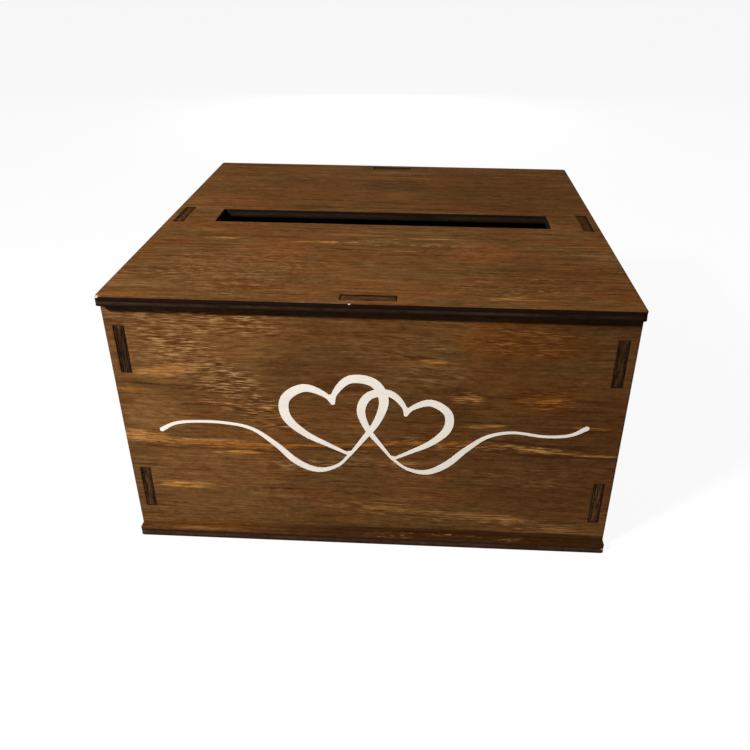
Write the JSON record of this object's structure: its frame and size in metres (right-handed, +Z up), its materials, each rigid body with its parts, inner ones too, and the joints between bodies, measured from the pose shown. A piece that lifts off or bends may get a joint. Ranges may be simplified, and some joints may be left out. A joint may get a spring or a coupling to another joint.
{
  "type": "wedding card box",
  "caption": "Low rectangular card box of stained plywood panels joined by through tabs, with a lift-off slotted lid and a white vinyl flourish of linked hearts.",
  "frame": {"origin": "middle of the base panel's underside, on the table", "axes": "+X to the box's right as seen from the front, +Y to the back, +Z up; the front face looks along -Y"},
  "size_m": [0.28, 0.254, 0.162],
  "materials": {
    "stained_plywood": "dark walnut stain, satin",
    "white_vinyl": "matte"
  },
  "bodies": {
    "box": {"base_panel": "stained_plywood", "front_panel": "stained_plywood", "back_panel": "stained_plywood", "left_panel": "stained_plywood", "right_panel": "stained_plywood", "flourish_decal": "white_vinyl"},
    "lid": {"lid_panel": "stained_plywood"}
  },
  "joints": [
    {"name": "lid_lift", "type": "slide", "parent": "box", "child": "lid", "axis": [0, 0, 1], "range_m": [0, 0.12]}
  ]
}
